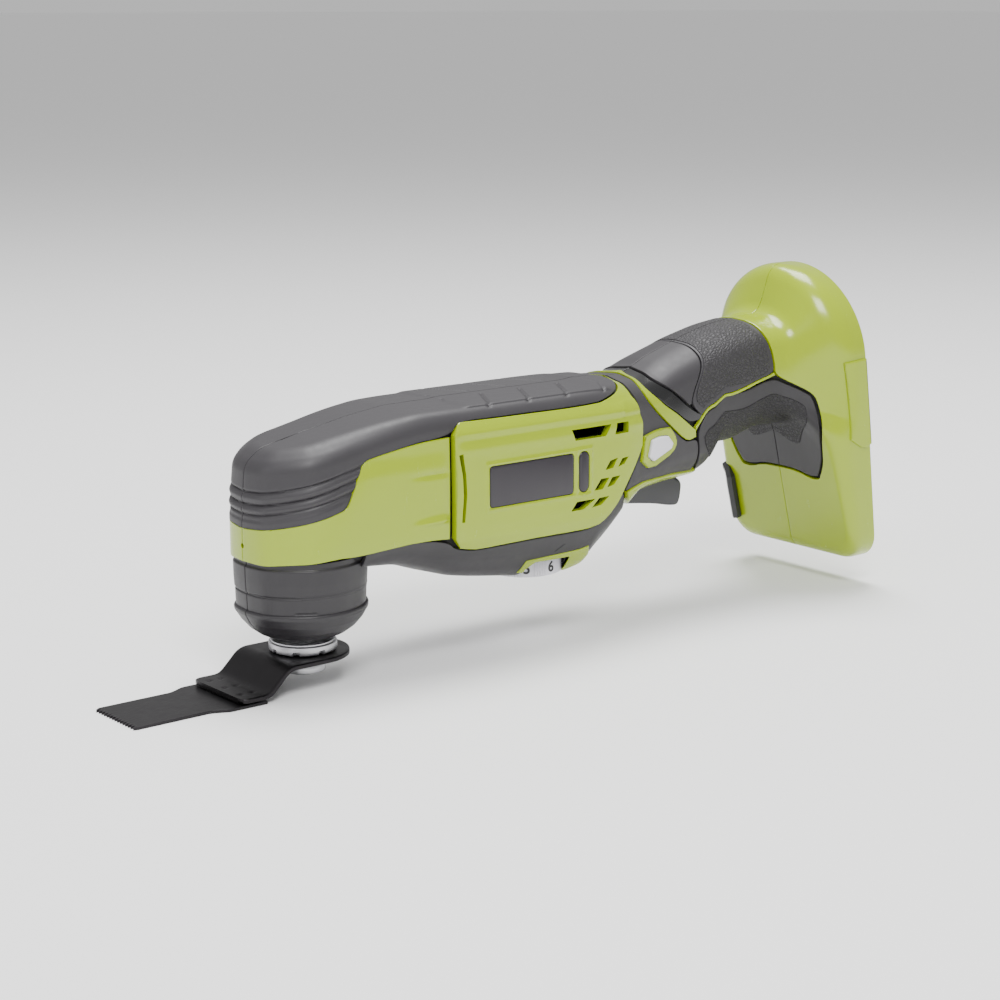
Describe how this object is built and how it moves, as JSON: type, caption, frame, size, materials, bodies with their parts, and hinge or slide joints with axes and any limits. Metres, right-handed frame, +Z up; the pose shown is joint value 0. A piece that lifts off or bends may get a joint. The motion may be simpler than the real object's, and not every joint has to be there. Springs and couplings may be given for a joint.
{
  "type": "oscillating multi-tool",
  "caption": "Handheld cordless oscillating cutter: long body with round head, plunge blade on a cranked bracket, dial, trigger, lock-on button and a rear foot for a slide-in battery.",
  "frame": {"origin": "middle of the base of the bounding box, tool upright with its blade level", "axes": "+X from the blade towards the battery foot, +Y to the tool's right, +Z up along the spindle"},
  "size_m": [0.3604, 0.0773, 0.1408],
  "materials": {
    "green_shell": "gloss",
    "soft_grip": "satin",
    "dark_grip": "satin",
    "plate": "satin",
    "black_plastic": "satin",
    "pale_plastic": "satin",
    "bright_steel": "satin",
    "blade_steel": "dark satin",
    "cast_alloy": "as cast",
    "brass": "bright",
    "copper": "bright",
    "winding": "varnished",
    "magnet": "matt",
    "carbon": "matt",
    "circuit_board": "satin"
  },
  "bodies": {
    "housing": {"housing_left": "green_shell", "housing_right": "green_shell", "top_cap_left": "soft_grip", "top_cap_right": "soft_grip", "boot_left": "dark_grip", "boot_right": "dark_grip", "belly_pad_left": "soft_grip", "belly_pad_right": "soft_grip", "waist_pad_left": "soft_grip", "waist_pad_right": "soft_grip", "handle_grip_left": "soft_grip", "handle_grip_right": "soft_grip", "foot_pad_left": "dark_grip", "foot_pad_right": "dark_grip", "badge_left": "plate", "badge_right": "plate", "side_insert_left": "plate", "side_insert_right": "plate", "housing_screw_1": "bright_steel", "housing_screw_2": "bright_steel", "housing_screw_3": "bright_steel", "housing_screw_4": "bright_steel", "housing_screw_5": "bright_steel", "housing_screw_6": "bright_steel", "hex_key": "black_plastic", "lower_bearing": "bright_steel", "upper_bearing": "bright_steel", "gear_case": "cast_alloy", "gear_case_cover": "cast_alloy", "front_motor_bearing": "bright_steel", "rear_motor_bearing": "bright_steel", "motor_can": "bright_steel", "magnet_lower": "magnet", "magnet_upper": "magnet", "end_bell": "black_plastic", "brush_left": "carbon", "brush_right": "carbon", "speed_board": "circuit_board", "trigger_spring": "bright_steel", "switch_body": "black_plastic", "terminal_block": "black_plastic", "battery_contact_left": "brass", "battery_contact_right": "brass"},
    "spindle": {"spindle": "bright_steel", "arbor_flange": "bright_steel", "fork": "cast_alloy", "blade_bracket": "blade_steel", "blade": "blade_steel", "clamp_washer": "bright_steel", "clamp_screw": "bright_steel"},
    "armature": {"armature_shaft": "bright_steel", "armature_core": "winding", "commutator": "copper", "fan": "black_plastic", "eccentric": "bright_steel", "eccentric_bearing": "bright_steel"},
    "trigger": {"trigger": "black_plastic"},
    "lock_button": {"lock_button": "pale_plastic"},
    "speed_dial": {"speed_dial": "pale_plastic"}
  },
  "joints": [
    {"name": "spindle_swing", "type": "hinge", "parent": "housing", "child": "spindle", "pos_m": [-0.09848, 0, 0.0278], "axis": [0, 0, 1], "range_deg": [-1.6, 1.6]},
    {"name": "motor_spin", "type": "hinge", "parent": "housing", "child": "armature", "pos_m": [-0.00848, 0, 0.0658], "axis": [1, 0, 0], "continuous": true},
    {"name": "trigger_press", "type": "hinge", "parent": "housing", "child": "trigger", "pos_m": [0.05302, 0, 0.0578], "axis": [0, -1, 0], "range_deg": [0, 6], "stiffness_Nm_per_rad": 0.6, "springref_deg": -8.59, "deforming": ["trigger_spring"]},
    {"name": "lock_press", "type": "slide", "parent": "housing", "child": "lock_button", "axis": [0, 1, 0], "range_m": [0, 0.0025], "stiffness_N_per_m": 400, "springref_m": -0.003},
    {"name": "dial_turn", "type": "hinge", "parent": "housing", "child": "speed_dial", "pos_m": [0.00952, 0, 0.0278], "axis": [0, 0, 1], "range_deg": [-190, 0]}
  ]
}
